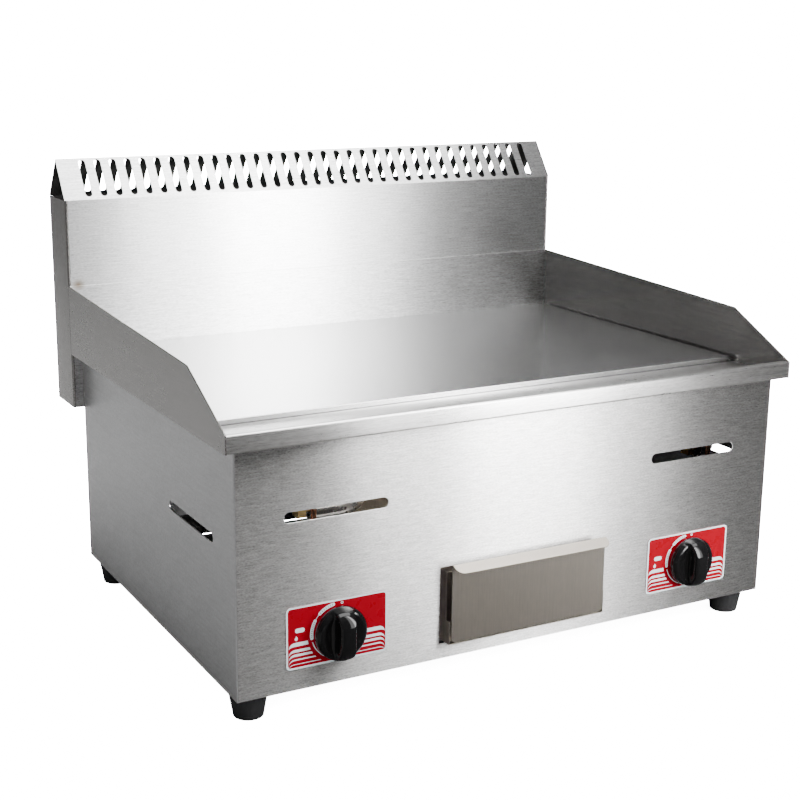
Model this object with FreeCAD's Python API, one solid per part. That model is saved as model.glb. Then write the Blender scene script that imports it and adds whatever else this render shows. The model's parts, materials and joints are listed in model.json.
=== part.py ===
import FreeCAD, Part
import math
import os

from FreeCAD import Placement, Rotation, Vector

# Two-zone countertop gas griddle with a rear flue, in millimetres.
# x runs to the right, z up from the floor. The pieces are laid out with y = 0 at the front
# panel's outer face and y growing to the rear; put() then moves each one so that the
# origin lies on the floor under the middle of the whole griddle.

# ---- driving dimensions -------------------------------------------------------------
WIDTH = 730.0                 # over the splash guards and the flue
CABINET_WIDTH = 702.0
CABINET_DEPTH = 498.0
CABINET_HEIGHT = 272.0        # base panel underside to the rim's bottom edge
FOOT_HEIGHT = 31.0
RIM_HEIGHT = 20.0
RIM_OVERHANG = 14.0           # rim face in front of the front panel
RIM_TOP_WIDTH = 11.0
SPLASH_REAR_RISE = 88.6       # splash guard's rear corner above the rim's bottom edge
SPLASH_BREAK_RISE = 70.3
SPLASH_BREAK_Y = 86.6
PLATE_FRONT_Y = 83.0
PLATE_WIDTH = 716.0
PLATE_THICKNESS = 6.0
DRAIN_RADIUS = 11.0
DRAIN_Y = 20.0
DRAIN_FLANGE_RADIUS = 16.0
DRAIN_END_RISE = 119.0        # spout's lower end above the base, over the open drawer
FLUE_DEPTH = 69.0
FLUE_BOTTOM_RISE = 201.8      # above the base panel's underside
FLUE_EAVES_RISE = 468.6
FLUE_RIDGE_RISE = 518.0
FLUE_SLOT_COUNT = 34
FLUE_SLOT_SIZE = (53.5, 9.0)
FLUE_SLOT_OFFSET = 0.8        # slots sit this far up the slope from its middle
FLUE_FRONT_ROW = (20.12, 0.0)           # pitch and middle of the front row of slots
FLUE_REAR_ROW = (19.93, -6.1)
FLUE_CORNER_STRIP = 3.5       # width of the end panels' folds seen on the front and rear
BURNER_SLOT_SIZE = (121.5, 11.5)
BURNER_SLOT_RISE = 192.3
SIDE_SLOT_SIZE = (130.0, 11.0)
SIDE_SLOT_Y = 123.0
SIDE_SLOT_RISE = 161.0
KNOB_X = 235.3                # knob and slot centres, either side of the middle
KNOB_RISE = 59.2
KNOB_RADIUS = 29.8
KNOB_REACH = 31.0             # knob front in front of the front panel
KNOB_BASE_Y = -6.8            # rear rim of the skirt, clear of the dial plate when pushed
DIAL_PLATE_SIZE = (120.0, 70.0)
DRAWER_MOUTH = (218.0, 17.8, 107.0)     # width, low edge and high edge above the base
DRAWER_FRONT = (204.0, 22.5, 114.0)     # the same for the drawer's front plate
DRAWER_AJAR = 12.5            # gap between the drawer's front plate and the front panel
DRAWER_LENGTH = 352.0
DRAWER_LIP = (13.3, 6.5)      # reach and drop of the front plate's finger lip
DRAWER_CORNERS = (6.0, 9.0)   # corner radii of the front plate and of its lip
DRAWER_REST = 2.2             # drawer floor above the mouth's low edge
DRAWER_HEADROOM = 4.0         # drawer box's rim below the mouth's high edge
DRAWER_TOE = (7.0, 27.0)      # depth and height of the low box ahead of the panel
VENT_SIZE = (80.0, 8.0)
REAR_VENT_XS = (-240.0, -120.0, 0.0, 240.0)
REAR_VENT_RISES = (40.0, 60.0)
BASE_VENT_XS = (-275.0, -165.0, -55.0, 55.0, 165.0, 275.0)
BASE_VENT_YS = (150.0, 190.0, 230.0, 270.0)
PLATE_LEDGE = 22.0            # width of the tray's floor that the plate rests on
FOOT_X = 326.0
FOOT_FRONT_Y = 30.0
FOOT_REAR_Y = 468.0
FOOT_TOP_RADIUS = 22.0
FOOT_BOTTOM_RADIUS = 16.5

# ---- sheet metal and fits -----------------------------------------------------------
STEEL = 1.5                   # cabinet, tray and splash guards
THIN = 1.0                    # flue and drawer
BEND = 1.0                    # inner bend radius
FLANGE = 14.0
SEAM = 0.2                    # gap left at a sheet joint
RUNNING = 0.05                # radial clearance of a shaft in its bore
LOOSE = 0.3
SCREW_RADIUS = 1.9
SCREW_LENGTH = 5.0

# ---- levels worked out from those ---------------------------------------------------
BASE_Z = FOOT_HEIGHT
RIM_BOTTOM_Z = BASE_Z + CABINET_HEIGHT
RIM_TOP_Z = RIM_BOTTOM_Z + RIM_HEIGHT
PLATE_TOP_Z = RIM_TOP_Z - 11.4
DECK_Z = PLATE_TOP_Z - PLATE_THICKNESS          # upper face of the tray's floor
CABINET_TOP_Z = DECK_Z - STEEL
FLUE_FRONT_Y = CABINET_DEPTH
FLUE_REAR_Y = FLUE_FRONT_Y + FLUE_DEPTH
FLUE_RIDGE_Y = FLUE_FRONT_Y + FLUE_DEPTH / 2
FLUE_BOTTOM_Z = BASE_Z + FLUE_BOTTOM_RISE
FLUE_EAVES_Z = BASE_Z + FLUE_EAVES_RISE
FLUE_RIDGE_Z = BASE_Z + FLUE_RIDGE_RISE
KNOB_Z = BASE_Z + KNOB_RISE
HALF_CABINET = CABINET_WIDTH / 2
HALF_INNER = HALF_CABINET - STEEL - SEAM        # half width between the side panels
HALF_TRAY = WIDTH / 2 - STEEL
REAR_PANEL_Y = CABINET_DEPTH - 2 * STEEL        # the rear panel's inner face
EXHAUST_WINDOW = (600.0, BASE_Z + 214.0, BASE_Z + 264.0)    # width, low and high edge
DRAIN_END_Z = BASE_Z + DRAIN_END_RISE
ORIGIN_Y = (FLUE_REAR_Y - KNOB_REACH) / 2

# ---- gas train ----------------------------------------------------------------------
SPINDLE_RADIUS = 4.0
SPINDLE_FRONT_Y = -21.5
SPINDLE_FLAT = 2.5            # height of the flat above the spindle's axis
FLAT_REAR_Y = -12.0
COLLAR_RADIUS = 6.0
COLLAR_WIDTH = 1.5
PANEL_HOLE_RADIUS = 7.0
VALVE_FRONT_Y = 11.0
VALVE_REAR_Y = 58.0
VALVE_RADIUS = 13.0
EAR_HALF_WIDTH = 20.0         # valve body's ears and its cap plate
EAR_HALF_HEIGHT = 7.0
EAR_THICKNESS = 6.0
CAP_THICKNESS = 3.0
CAP_SCREW_X = 16.5
CAP_SCREW_RADIUS = 1.25
CAP_SCREW_DEPTH = 6.0
GAS_BORE_RADIUS = 4.0
INLET_BOSS = (8.0, 20.0)      # radius and height above the spindle's axis
OUTLET_BOSS = (5.5, 18.0)
PLUG_FRONT_Y = 25.0
PLUG_REAR_Y = 45.0
PLUG_FRONT_RADIUS = 8.5
PLUG_REAR_RADIUS = 7.0
MANIFOLD_SIDE = 18.0
MANIFOLD_Y = 47.0
MANIFOLD_Z = BASE_Z + 126.0
MANIFOLD_HALF_LENGTH = 262.0
MANIFOLD_WALL = 1.5
NIPPLE_RADIUS = 6.5
BRACKET_X = (145.0, 165.0, 185.0)       # rest, upright and foot of a manifold bracket
BRACKET_WIDTH = 16.0
FEED_RADIUS = 8.0
FEED_BORE_RADIUS = 6.0
GAS_TUBE_RADIUS = 3.0
GAS_TUBE_WALL = 0.8
GAS_TUBE_Y = 32.0
GAS_TUBE_BEND = 14.0
BURNER_Z = BASE_Z + 174.0
BURNER_RADIUS = 13.0
BURNER_WALL = 1.2
BURNER_MOUTH_Y = 68.0
BURNER_BEND_RADIUS = 75.0
BURNER_REAR_Y = 355.0
BURNER_END_Y = 113.0          # closed end of the return leg
GAS_SLOT_SIZE = (16.0, 2.2)
GAS_SLOT_COUNT = 12
GAS_SLOT_PITCH = 20.0
GAS_SLOT_FIRST_Y = 130.0
RAIL_YS = {"front": 200.0, "rear": 320.0}
RAIL_WIDTH = 20.0
STRAP_WIDTH = 12.0
STRAP_FOOT = 8.0
INLET_X = 135.0
INLET_THREAD_RADIUS = 10.48
INLET_REACH = 14.0            # the inlet fitting's neck inside the rear panel
INLET_NUT_WIDTH = 9.0
INLET_THREAD_LENGTH = 16.0
LOCKNUT_WIDTH = 6.0

# ---- feet ---------------------------------------------------------------------------
FOOT_BOLT_RADIUS = 3.0
FOOT_RECESS = (7.5, 16.0)     # radius and depth of the recess for the bolt's head
FOOT_HEAD = (6.0, 4.0)        # radius and height of the bolt's head
FOOT_BOLT_END = 8.0           # bolt end above the base panel
FOOT_NUT = (10.0, 5.0)        # across flats and height
# mixing tube mouth, fed leg and elbow radius of each burner
BURNERS = {"left": (-236.0, -165.0, 40.0), "right": (297.0, 322.0, 24.0)}
SIDES = {"left": -1, "right": 1}


# ---- helpers ------------------------------------------------------------------------
FACING_FRONT = Rotation(Vector(1, 0, 0), 90)          # x stays x, y becomes up
FACING_SIDE = Rotation(Vector(1, 1, 1), 120)          # x becomes y, y becomes up


def put(node, shape):
    """Write one node's STEP file, moved into the griddle's own frame."""
    solids = shape.Solids
    placed = solids[0] if len(solids) == 1 else Part.makeCompound(solids)
    placed.translate(Vector(0, -ORIGIN_Y, 0))
    placed.exportStep("parts/" + node + ".step")


def block(x0, x1, y0, y1, z0, z1):
    """A box between two corners."""
    return Part.makeBox(x1 - x0, y1 - y0, z1 - z0, Vector(x0, y0, z0))


def rod(radius, start, end):
    """A round bar between two points."""
    axis = end - start
    return Part.makeCylinder(radius, axis.Length, start, axis)


def along_y(radius, x, z, y0, y1):
    """A round bar parallel to y."""
    return rod(radius, Vector(x, y0, z), Vector(x, y1, z))


def along_z(radius, x, y, z0, z1):
    """A round bar parallel to z."""
    return rod(radius, Vector(x, y, z0), Vector(x, y, z1))


def mirrored_x(shape):
    """The same piece for the other side of the griddle."""
    return shape.mirror(Vector(0, 0, 0), Vector(1, 0, 0))


def fused(shapes):
    """One solid from several that touch."""
    return shapes[0].fuse(list(shapes[1:])).removeSplitter()


def unit(vector):
    """A copy of the vector, one long."""
    return Vector(vector).normalize()


def rounded_edges(points, radii):
    """Straight edges through the points, joined at each inner point by a tangent arc."""
    edges = []
    start = points[0]
    for i in range(1, len(points) - 1):
        back = unit(points[i - 1] - points[i])
        ahead = unit(points[i + 1] - points[i])
        half_angle = back.getAngle(ahead) / 2
        trim = radii[i - 1] / math.tan(half_angle)
        inset = radii[i - 1] / math.sin(half_angle) - radii[i - 1]
        arc_start = points[i] + back * trim
        arc_end = points[i] + ahead * trim
        arc_middle = points[i] + unit(back + ahead) * inset
        edges.append(Part.LineSegment(start, arc_start).toShape())
        edges.append(Part.Arc(arc_start, arc_middle, arc_end).toShape())
        start = arc_end
    edges.append(Part.LineSegment(start, points[-1]).toShape())
    return edges


def lies_right(points, i, thickness):
    """The point moved to the right of the outline's direction, with a mitred corner."""
    arriving = unit(points[i] - points[i - 1]) if i > 0 else unit(points[1] - points[0])
    leaving = unit(points[i + 1] - points[i]) if i < len(points) - 1 else arriving
    miter = Vector(arriving.y + leaving.y, -arriving.x - leaving.x, 0)
    return points[i] + miter * (2 * thickness / miter.dot(miter))


def bend_radii(points, thickness):
    """Bend radii on the outline and on its offset: the outer side of a bend is larger."""
    near = []
    far = []
    for i in range(1, len(points) - 1):
        turn = (points[i] - points[i - 1]).cross(points[i + 1] - points[i]).z
        turns_right = turn < 0
        near.append(BEND + thickness if turns_right else BEND)
        far.append(BEND if turns_right else BEND + thickness)
    return near, far


def folded_sheet(outline, thickness, along, low, high):
    """A bent sheet: the outline's section, to the right of its direction, made long.

    The outline is (y, z) for a sheet that runs along x, and (x, z) or (x, y) for one
    along y or z.
    """
    points = [Vector(u, v, 0) for u, v in outline]
    moved = [lies_right(points, i, thickness) for i in range(len(points))]
    near, far = bend_radii(points, thickness)
    edges = rounded_edges(points, near)
    edges.append(Part.LineSegment(points[-1], moved[-1]).toShape())
    edges += rounded_edges(moved[::-1], far[::-1])
    edges.append(Part.LineSegment(moved[0], points[0]).toShape())
    face = Part.Face(Part.Wire(Part.__sortEdges__(edges)))
    solid = face.extrude(Vector(0, 0, high - low))
    solid.translate(Vector(0, 0, low))
    turned = {"x": FACING_SIDE, "y": FACING_FRONT, "z": Rotation()}[along]
    solid.Placement = Placement(Vector(0, 0, 0), turned).multiply(solid.Placement)
    return solid.mirror(Vector(0, 0, 0), Vector(0, 1, 0)) if along == "y" else solid


def obround(length, width, depth):
    """A slot's solid, centred on the origin: long in x, wide in y, deep in z."""
    radius = width / 2
    straight = length - width
    middle = Part.makeBox(straight, width, depth, Vector(-straight / 2, -radius, -depth / 2))
    ends = [
        Part.makeCylinder(radius, depth, Vector(x, 0, -depth / 2))
        for x in (-straight / 2, straight / 2)
    ]
    return middle.fuse(ends).removeSplitter()


def rounded_plate(width, height, radius, depth):
    """A flat plate with round corners, centred on the origin: width in x, height in y."""
    plate = Part.makeBox(width, height, depth, Vector(-width / 2, -height / 2, -depth / 2))
    upright = [e for e in plate.Edges if abs(e.tangentAt(e.FirstParameter).z) > 0.9]
    return plate.makeFillet(radius, upright)


def turned_to(shape, rotation, place):
    """The shape turned about the origin, then moved."""
    moved = shape.copy()
    moved.Placement = Placement(place, rotation).multiply(shape.Placement)
    return moved


def swept_tube(points, radii, outer, inner):
    """A round tube along straight runs joined by tangent arcs. inner = 0 makes it solid."""
    path = Part.Wire(rounded_edges(points, radii))
    direction = unit(points[1] - points[0])

    def solid(radius):
        ring = Part.Wire(Part.Circle(points[0], direction, radius).toShape())
        return path.makePipeShell([ring], True, False)

    return solid(outer) if inner == 0 else solid(outer).cut(solid(inner))


def hexagon(across_flats, x, z, y0, y1):
    """A hexagonal bar parallel to y."""
    corner = across_flats / math.sqrt(3)
    points = [
        Vector(x + corner * math.cos(math.radians(a)), y0, z + corner * math.sin(math.radians(a)))
        for a in range(0, 361, 60)
    ]
    return Part.Face(Part.makePolygon(points)).extrude(Vector(0, y1 - y0, 0))


# ---- cabinet ------------------------------------------------------------------------
def front_panel():
    """Flat front with a top flange, drawer mouth, two viewing slots and spindle holes."""
    top_corner = HALF_INNER - FLANGE
    panel = block(-HALF_INNER, HALF_INNER, 0, STEEL, BASE_Z, CABINET_TOP_Z)
    flange = block(-top_corner, top_corner, STEEL, FLANGE, CABINET_TOP_Z - STEEL, CABINET_TOP_Z)
    panel = fused([panel, flange])
    mouth_width, mouth_low, mouth_high = DRAWER_MOUTH
    notch = DRAIN_FLANGE_RADIUS + 2
    cuts = [block(-mouth_width / 2, mouth_width / 2, -1, STEEL + 1,
                  BASE_Z + mouth_low, BASE_Z + mouth_high),
            block(-notch, notch, 2 * STEEL, FLANGE + 1, CABINET_TOP_Z - 2 * STEEL,
                  CABINET_TOP_Z + 1)]
    for side in SIDES.values():
        slot = obround(*BURNER_SLOT_SIZE, 4 * STEEL)
        cuts.append(turned_to(slot, FACING_FRONT,
                              Vector(side * KNOB_X, 0, BASE_Z + BURNER_SLOT_RISE)))
        cuts.append(along_y(PANEL_HOLE_RADIUS, side * KNOB_X, KNOB_Z, -1, STEEL + 1))
    return panel.cut(cuts)


def right_side_panel():
    """Side with flanges folded inwards at the top, bottom, front and rear."""
    web_inner = HALF_CABINET - STEEL
    flange_end = web_inner - FLANGE
    web = block(web_inner, HALF_CABINET, 0, CABINET_DEPTH, BASE_Z, CABINET_TOP_Z)
    outer = [e for e in web.Edges
             if e.CenterOfMass.x > HALF_CABINET - 0.1
             and abs(e.CenterOfMass.z - (BASE_Z + CABINET_TOP_Z) / 2) < 1]
    web = web.makeFillet(STEEL - SEAM, outer)
    low_z = BASE_Z + STEEL + SEAM
    high_z = CABINET_TOP_Z - STEEL
    front = block(flange_end, web_inner, STEEL + SEAM, 2 * STEEL + SEAM, low_z, CABINET_TOP_Z)
    rear = block(flange_end, web_inner, CABINET_DEPTH - STEEL, CABINET_DEPTH, low_z, CABINET_TOP_Z)
    low = block(flange_end, web_inner, 2 * STEEL + SEAM, REAR_PANEL_Y, low_z, low_z + STEEL)
    high = block(flange_end, web_inner, 2 * STEEL + SEAM, REAR_PANEL_Y, high_z, CABINET_TOP_Z)
    slot = obround(*SIDE_SLOT_SIZE, 6 * STEEL)
    cutter = turned_to(slot, FACING_SIDE,
                       Vector(HALF_CABINET, SIDE_SLOT_Y, BASE_Z + SIDE_SLOT_RISE))
    holes = [screw_hole(x, z) for x, z in rear_screw_places()]
    return fused([web, front, rear, low, high]).cut([cutter] + holes)


def rear_panel():
    """Flat back with the exhaust window, the gas inlet hole and two rows of vents."""
    panel = block(-HALF_INNER, HALF_INNER, REAR_PANEL_Y, REAR_PANEL_Y + STEEL,
                  BASE_Z + 2 * STEEL + 2 * SEAM, CABINET_TOP_Z - STEEL - SEAM)
    width, low, high = EXHAUST_WINDOW
    cuts = [block(-width / 2, width / 2, REAR_PANEL_Y - 1, REAR_PANEL_Y + STEEL + 1, low, high)]
    cuts.append(along_y(INLET_THREAD_RADIUS + LOOSE, INLET_X, MANIFOLD_Z,
                        REAR_PANEL_Y - 1, REAR_PANEL_Y + STEEL + 1))
    for x in REAR_VENT_XS:
        vent = obround(*VENT_SIZE, 4 * STEEL)
        for rise in REAR_VENT_RISES:
            cuts.append(turned_to(vent, FACING_FRONT, Vector(x, REAR_PANEL_Y, BASE_Z + rise)))
    cuts += [screw_hole(x, z) for x, z in rear_screw_places() + flue_screw_places()]
    return panel.cut(cuts)


def base_panel():
    """Flat base with a front flange, air slots and the four foot bolt holes."""
    flange_half = HALF_INNER - FLANGE - 1
    floor = block(-HALF_INNER, HALF_INNER, STEEL + SEAM, CABINET_DEPTH - STEEL, BASE_Z,
                  BASE_Z + STEEL)
    flange = block(-flange_half, flange_half, STEEL + SEAM, 2 * STEEL + SEAM, BASE_Z + STEEL,
                   BASE_Z + FLANGE)
    cuts = []
    vent = obround(*VENT_SIZE, 4 * STEEL)
    for x in BASE_VENT_XS:
        for y in BASE_VENT_YS:
            cuts.append(turned_to(vent, Rotation(), Vector(x, y, BASE_Z)))
    for x, y in foot_places().values():
        cuts.append(along_z(FOOT_BOLT_RADIUS + LOOSE, x, y, BASE_Z - 1, BASE_Z + STEEL + 1))
    return fused([floor, flange]).cut(cuts)


# ---- tray, splash guards and plate --------------------------------------------------
def top_tray():
    """Floor of the cooking top with the folded front rim, the grease trough between rim and
    plate, a window under the plate and the drain hole."""
    rim_rear = RIM_TOP_WIDTH - RIM_OVERHANG
    outline = [
        (rim_rear - 4 * STEEL, RIM_BOTTOM_Z),
        (-RIM_OVERHANG, RIM_BOTTOM_Z),
        (-RIM_OVERHANG, RIM_TOP_Z),
        (rim_rear, RIM_TOP_Z),
        (rim_rear, DECK_Z),
        (CABINET_DEPTH - STEEL, DECK_Z),
    ]
    sheet = folded_sheet(outline, STEEL, "x", -HALF_TRAY, HALF_TRAY)
    half = PLATE_WIDTH / 2 - PLATE_LEDGE
    window = block(-half, half, PLATE_FRONT_Y + PLATE_LEDGE, CABINET_DEPTH - PLATE_LEDGE,
                   DECK_Z - 3 * STEEL, DECK_Z + 1)
    drain = along_z(DRAIN_RADIUS, 0, DRAIN_Y, DECK_Z - 3 * STEEL, DECK_Z + 1)
    return sheet.cut([window, drain])


def drain_spout():
    """Flanged tube that leads grease from the trough down to the drawer."""
    top = DECK_Z - STEEL
    flange = along_z(DRAIN_FLANGE_RADIUS, 0, DRAIN_Y, top - THIN, top)
    tube = along_z(DRAIN_RADIUS + THIN, 0, DRAIN_Y, DRAIN_END_Z, top - THIN)
    hole = along_z(DRAIN_RADIUS, 0, DRAIN_Y, BASE_Z, top + 1)
    return fused([flange, tube]).cut(hole)


def right_splash_guard():
    """Flat side guard, low at the front rim and highest at the rear."""
    rear = CABINET_DEPTH
    corners = [
        (-RIM_OVERHANG, RIM_BOTTOM_Z),
        (rear, RIM_BOTTOM_Z),
        (rear, RIM_BOTTOM_Z + SPLASH_REAR_RISE),
        (SPLASH_BREAK_Y, RIM_BOTTOM_Z + SPLASH_BREAK_RISE),
        (-RIM_OVERHANG, RIM_TOP_Z),
        (-RIM_OVERHANG, RIM_BOTTOM_Z),
    ]
    face = Part.Face(Part.makePolygon([Vector(HALF_TRAY, y, z) for y, z in corners]))
    return face.extrude(Vector(STEEL, 0, 0))


def rear_splash_guard():
    """Upright sheet behind the plate, as high as the side guards' rear corners."""
    return block(-HALF_TRAY, HALF_TRAY, CABINET_DEPTH - STEEL, CABINET_DEPTH, CABINET_TOP_Z,
                 RIM_BOTTOM_Z + SPLASH_REAR_RISE)


def griddle_plate():
    """Thick steel plate with round corners and a broken top edge."""
    rear = CABINET_DEPTH - STEEL - LOOSE
    depth = rear - PLATE_FRONT_Y
    plate = rounded_plate(PLATE_WIDTH, depth, 3.0, PLATE_THICKNESS)
    plate = turned_to(plate, Rotation(), Vector(0, PLATE_FRONT_Y + depth / 2,
                                                DECK_Z + PLATE_THICKNESS / 2))
    rim = [e for e in plate.Edges if min(v.Z for v in e.Vertexes) > PLATE_TOP_Z - 0.01]
    return plate.makeChamfer(0.6, rim)


# ---- flue ---------------------------------------------------------------------------
def flue_slots(pitch, centre):
    """Cutters for a row of slots through the front slope."""
    rise = FLUE_RIDGE_Z - FLUE_EAVES_Z
    run = FLUE_DEPTH / 2
    slope = math.degrees(math.atan2(rise, run))
    turn = Rotation(Vector(1, 0, 0), slope).multiply(Rotation(Vector(0, 0, 1), 90))
    slot = obround(*FLUE_SLOT_SIZE, 8 * THIN)
    up_slope = FLUE_SLOT_OFFSET / math.hypot(run, rise)
    middle = (FLUE_FRONT_Y + FLUE_RIDGE_Y) / 2 + run * up_slope
    height = (FLUE_EAVES_Z + FLUE_RIDGE_Z) / 2 + rise * up_slope
    first = centre - (FLUE_SLOT_COUNT - 1) / 2 * pitch
    return [
        turned_to(slot, turn, Vector(first + i * pitch, middle, height))
        for i in range(FLUE_SLOT_COUNT)
    ]


def flue_half(slot_row):
    """Front wall and front slope of the flue. The wall is narrower than the slope, so that
    it fits between the end panels' folds, and has a short return along each side."""
    half = WIDTH / 2
    wall_half = half - FLUE_CORNER_STRIP - SEAM
    outline = [
        (FLUE_FRONT_Y, FLUE_BOTTOM_Z),
        (FLUE_FRONT_Y, FLUE_EAVES_Z),
        (FLUE_RIDGE_Y, FLUE_RIDGE_Z),
    ]
    sheet = folded_sheet(outline, THIN, "x", -half, half)
    corners = [
        block(x, x + half - wall_half, FLUE_FRONT_Y - 1, FLUE_FRONT_Y + 3 * THIN,
              FLUE_BOTTOM_Z - 1, FLUE_EAVES_Z + SEAM)
        for x in (-half, wall_half)
    ]
    returns = [
        block(x, x + THIN, FLUE_FRONT_Y, FLUE_FRONT_Y + FLANGE / 2, FLUE_BOTTOM_Z + 2 * THIN,
              FLUE_EAVES_Z - THIN)
        for x in (-wall_half, wall_half - THIN)
    ]
    far_side = block(-half - 1, half + 1, FLUE_RIDGE_Y - SEAM / 4, FLUE_REAR_Y, FLUE_BOTTOM_Z,
                     FLUE_RIDGE_Z + 5)
    return fused([sheet.cut(corners)] + returns).cut(far_side).cut(flue_slots(*slot_row))


def flue_front_sheet():
    """The front half, with the exhaust window and screw holes low down."""
    width, low, high = EXHAUST_WINDOW
    cuts = [block(-width / 2, width / 2, FLUE_FRONT_Y - 1, FLUE_FRONT_Y + THIN + 1, low, high)]
    cuts += [screw_hole(x, z) for x, z in flue_screw_places()]
    return flue_half(FLUE_FRONT_ROW).cut(cuts)


def flue_rear_sheet():
    """The rear half: a mirror image with no window. Its row of slots is a little off the
    front row's."""
    return flue_half(FLUE_REAR_ROW).mirror(Vector(0, FLUE_RIDGE_Y, 0), Vector(0, 1, 0))


def flue_right_end():
    """Side wall of the flue, folded round both corners. The gable above it is open."""
    half = WIDTH / 2
    strip = half - FLUE_CORNER_STRIP
    outline = [(strip, FLUE_REAR_Y), (half, FLUE_REAR_Y), (half, FLUE_FRONT_Y),
               (strip, FLUE_FRONT_Y)]
    return folded_sheet(outline, THIN, "z", FLUE_BOTTOM_Z, FLUE_EAVES_Z)


def flue_base():
    """Flat sheet that closes the flue's bottom."""
    half = WIDTH / 2 - 2 * THIN
    return block(-half, half, FLUE_FRONT_Y + 2 * THIN, FLUE_REAR_Y - 2 * THIN,
                 FLUE_BOTTOM_Z, FLUE_BOTTOM_Z + THIN)


def flue_screw_places():
    """x and z of the screws that hold the flue to the rear panel."""
    return [(x, FLUE_BOTTOM_Z + 6.0) for x in (-300.0, -100.0, 100.0, 300.0)]


def rear_screw_places():
    """x and z of the screws that hold the rear panel to the side panels' flanges."""
    x = HALF_CABINET - STEEL - FLANGE / 2
    return [(side * x, BASE_Z + rise) for side in (-1, 1) for rise in (30.0, 100.0, 170.0)]


def screw_hole(x, z):
    """Clearance hole through every sheet at the cabinet's rear."""
    return along_y(SCREW_RADIUS + SEAM, x, z, REAR_PANEL_Y - 5, FLUE_FRONT_Y + 5)


def pan_screw(x, z, head_y):
    """Screw whose shank points forwards from head_y: a low domed head and a plain shank."""
    head_height = 1.6
    head = along_y(2 * SCREW_RADIUS, x, z, head_y, head_y + head_height)
    rim = [e for e in head.Edges if abs(e.CenterOfMass.y - head_y) > head_height - 0.1]
    head = head.makeFillet(head_height - 0.5, rim[:1])
    return head.fuse(along_y(SCREW_RADIUS, x, z, head_y - SCREW_LENGTH, head_y))


# ---- drawer -------------------------------------------------------------------------
def drawer_front():
    """Front plate whose top folds forwards and down into a finger lip."""
    width, low, high = DRAWER_FRONT
    face = -DRAWER_AJAR - STEEL
    top = BASE_Z + high - STEEL
    reach, drop = DRAWER_LIP
    low_radius, lip_radius = DRAWER_CORNERS
    outline = [(face, BASE_Z + low), (face, top), (face - reach, top - drop)]
    sheet = folded_sheet(outline, STEEL, "x", -width / 2, width / 2)
    tall = 2 * high
    low_corners = turned_to(rounded_plate(width, tall, low_radius, width), FACING_FRONT,
                            Vector(0, face, BASE_Z + low + tall / 2))
    lip_corners = turned_to(rounded_plate(width, tall, lip_radius, width), Rotation(),
                            Vector(0, face - reach + tall / 2, top))
    upright = block(-width, width, face - 1, 0, 0, top)
    upper = sheet.common(lip_corners.fuse(upright))
    return upper.common(low_corners)


def drawer_box():
    """Open grease box. Its low front corners reach forward to the front plate."""
    half = DRAWER_FRONT[0] / 2 + 2.0
    toe_depth, toe_height = DRAWER_TOE
    back_of_front = -DRAWER_AJAR
    front = back_of_front + toe_depth
    rear = back_of_front + DRAWER_LENGTH
    floor = BASE_Z + DRAWER_MOUTH[1] + DRAWER_REST
    top = BASE_Z + DRAWER_MOUTH[2] - DRAWER_HEADROOM
    low_top = floor + toe_height
    box = block(-half, half, front, rear, floor, top)
    box = box.cut(block(-half + THIN, half - THIN, front + THIN, rear - THIN, floor + THIN, top + 1))
    toe = block(-half, half, back_of_front, front, floor, low_top)
    toe = toe.cut(block(-half + THIN, half - THIN, back_of_front - 1, front + 1, floor + THIN,
                        low_top + 1))
    return fused([box, toe])


def right_drawer_runner():
    """Z-shaped runner on the base panel that the drawer slides on."""
    floor = BASE_Z + STEEL
    ledge = BASE_Z + DRAWER_MOUTH[1] + DRAWER_REST - LOOSE - THIN
    web = DRAWER_MOUTH[0] / 2 - 2.0
    outline = [(web + 13, floor), (web, floor), (web, ledge), (web - 16, ledge)]
    return folded_sheet(outline, THIN, "y", 2 * STEEL + 1, CABINET_DEPTH - 140)


# ---- dials, knobs and valves --------------------------------------------------------
def dial_plate(side):
    """Thin plate with round corners behind a knob."""
    plate = rounded_plate(*DIAL_PLATE_SIZE, 5.0, THIN - SEAM)
    plate = turned_to(plate, FACING_FRONT, Vector(side * KNOB_X, -(THIN - SEAM) / 2, KNOB_Z))
    return plate.cut(along_y(PANEL_HOLE_RADIUS, side * KNOB_X, KNOB_Z, -5, 1))


def revolved(profile, x, z):
    """A solid of revolution about the spindle's line from (radius, y) points."""
    points = [Vector(x + r, y, z) for r, y in profile]
    face = Part.Face(Part.makePolygon(points + points[:1]))
    return face.revolve(Vector(x, 0, z), Vector(0, 1, 0), 360)


def dome(radius, rear, front, bulge):
    """(radius, y) points of a domed face, from its edge to its middle."""
    steps = 12
    points = []
    for i in range(steps + 1):
        r = radius * (1 - i / steps)
        points.append((r, rear - (rear - front) * (1 - (r / radius) ** bulge) ** (1 / bulge)))
    return points


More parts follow.
